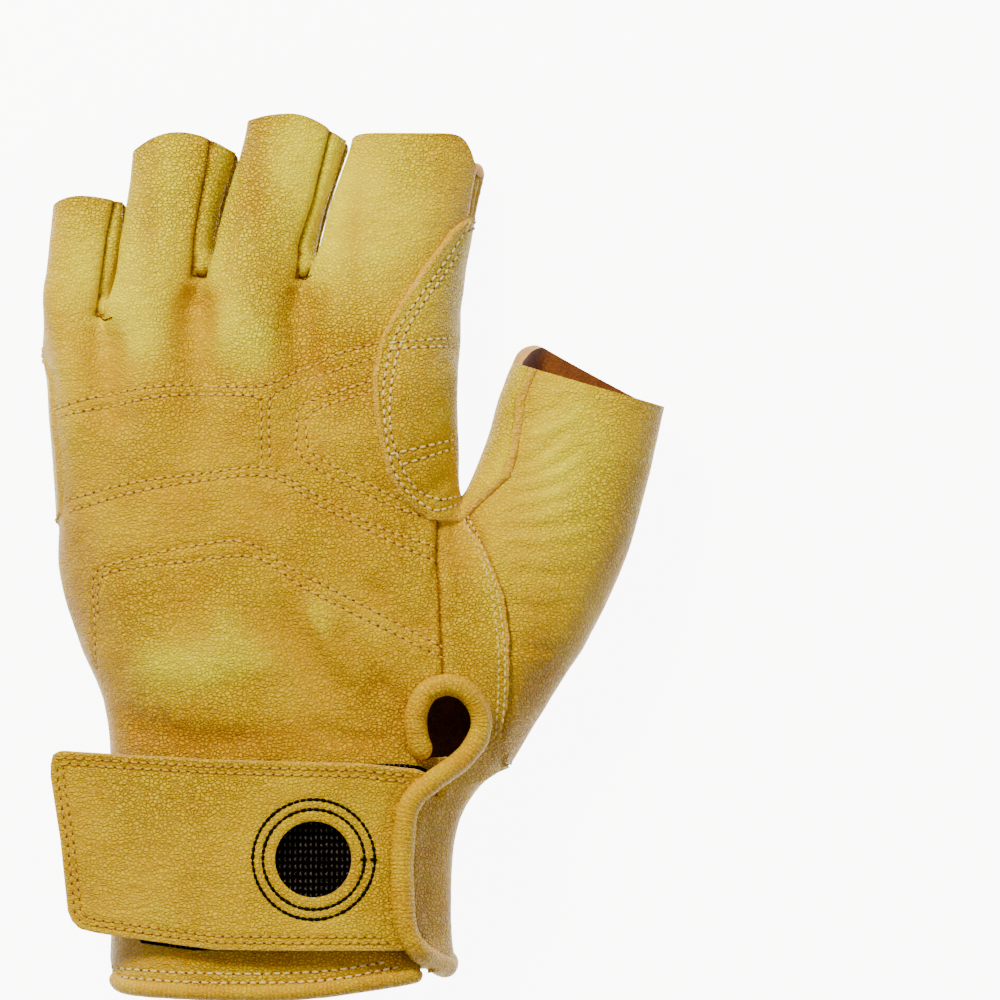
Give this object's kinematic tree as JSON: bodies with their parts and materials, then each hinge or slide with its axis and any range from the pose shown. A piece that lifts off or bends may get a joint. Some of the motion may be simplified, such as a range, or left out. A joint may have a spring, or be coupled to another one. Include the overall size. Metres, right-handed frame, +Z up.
{
  "type": "half-finger climbing glove, left hand",
  "caption": "Left-hand leather glove with open finger and thumb ends, doubled palm, rolled slit cuff and a wrist strap that closes over a loop pad.",
  "frame": {"origin": "middle of the bounding box, at the surface that the glove lies on, palm down", "axes": "+Y to the fingertips, +X to the thumb, +Z up from the back of the hand"},
  "size_m": [0.1558, 0.2214, 0.0364],
  "materials": {
    "leather": "golden yellow pebbled goat leather, semi-matt",
    "palm_leather": "golden yellow leather with raw pale cut edges",
    "edge_leather": "golden yellow leather rolled over the edge, finely creased",
    "loop_fabric": "black napped loop fabric"
  },
  "bodies": {
    "root": {"back_panel": "leather", "palm_panel": "leather", "thumb_back": "leather", "thumb_front": "leather", "fourchette_little_ring": "leather", "fourchette_ring_middle": "leather", "fourchette_middle_index": "leather", "palm_overlay": "palm_leather", "loop_pad": "loop_fabric", "wrist_strap": "leather", "cuff_binding": "edge_leather", "back_hem": "edge_leather"}
  },
  "joints": []
}
